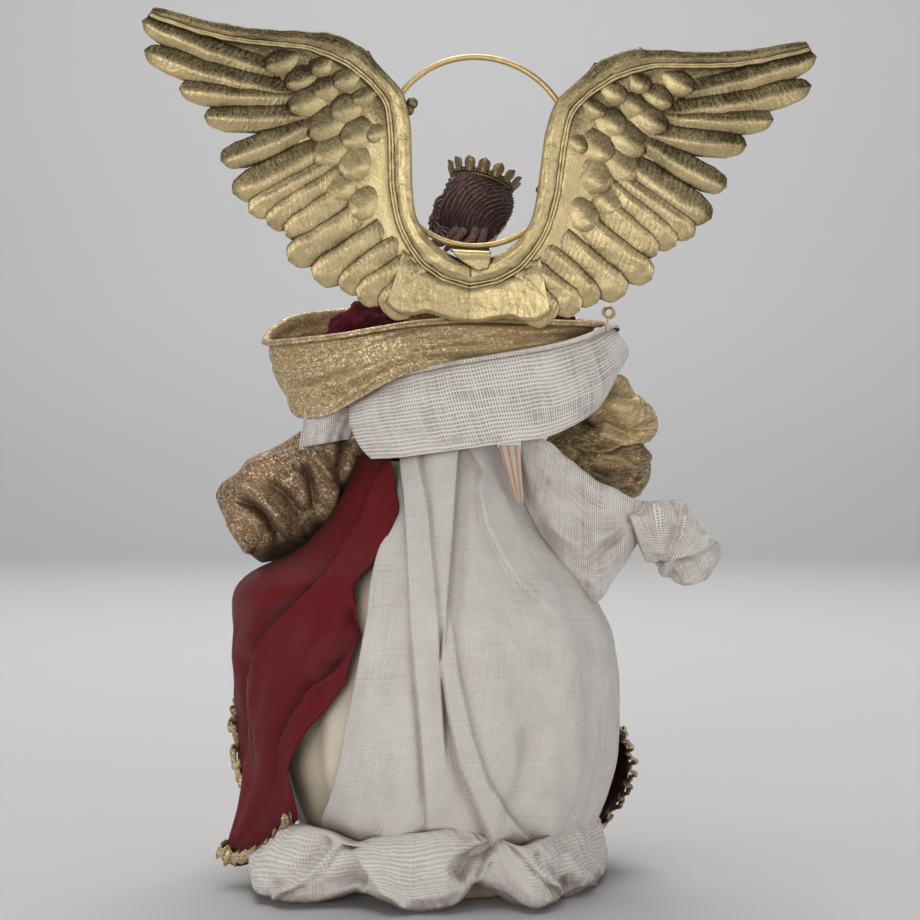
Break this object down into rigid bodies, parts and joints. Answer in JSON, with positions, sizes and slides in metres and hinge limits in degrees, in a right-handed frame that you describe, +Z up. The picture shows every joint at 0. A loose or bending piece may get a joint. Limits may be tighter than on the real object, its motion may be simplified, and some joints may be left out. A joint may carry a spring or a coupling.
{
  "type": "angel figurine",
  "caption": "Standing angel figurine with cast feathered wings, a wire halo, a crowned head and layered cloth dress and sashes over a cone body.",
  "frame": {"origin": "centre of the round foot's flat underside, on the floor", "axes": "+Z up the figure to the wing tips, +Y out of the figure's front, +X to the side of its raised gauze sash"},
  "size_m": [0.3204, 0.1847, 0.4199],
  "materials": {
    "card": "matte grey-brown pressed card",
    "flesh_resin": "painted cast resin, satin",
    "hair_resin": "dark auburn painted resin, dry-brushed strands",
    "antique_gold": "antique gold paint on cast resin, dark in the recesses",
    "gold_wire": "gold plated wire and strip",
    "velvet": "maroon velvet",
    "gold_lame": "gold lame cloth with fine sparkles",
    "bronze_lame": "coppery gold crinkled lame",
    "gauze": "open off-white gauze weave",
    "muslin": "fine off-white muslin",
    "cream_satin": "cream satin",
    "red_satin": "crimson satin",
    "gold_braid": "crinkled gold braid",
    "ribbon": "cream, red and tan woven stripes"
  },
  "bodies": {
    "root": {"base_disc": "card", "body_cone": "card", "torso_core": "card", "wing_block": "card", "left_arm": "gold_wire", "right_arm": "gold_wire", "left_hand": "flesh_resin", "right_hand": "flesh_resin", "head": "flesh_resin", "hair": "hair_resin", "crown": "antique_gold", "left_wing": "antique_gold", "right_wing": "antique_gold", "halo_ring": "gold_wire", "halo_clasp": "gold_wire", "wire_eyelet": "gold_wire", "velvet_bodice": "velvet", "left_velvet_sleeve": "velvet", "right_velvet_sleeve": "velvet", "gold_shawl": "gold_lame", "right_gold_sleeve": "gold_lame", "right_gold_cuff": "gold_lame", "left_gold_sleeve": "bronze_lame", "gauze_sash": "gauze", "gauze_tail": "gauze", "gauze_drape": "gauze", "gauze_knot": "gauze", "striped_ribbon": "ribbon", "underskirt": "cream_satin", "red_overskirt": "red_satin", "hem_braid": "gold_braid", "muslin_overskirt": "muslin", "hem_flounce": "muslin"}
  },
  "joints": []
}
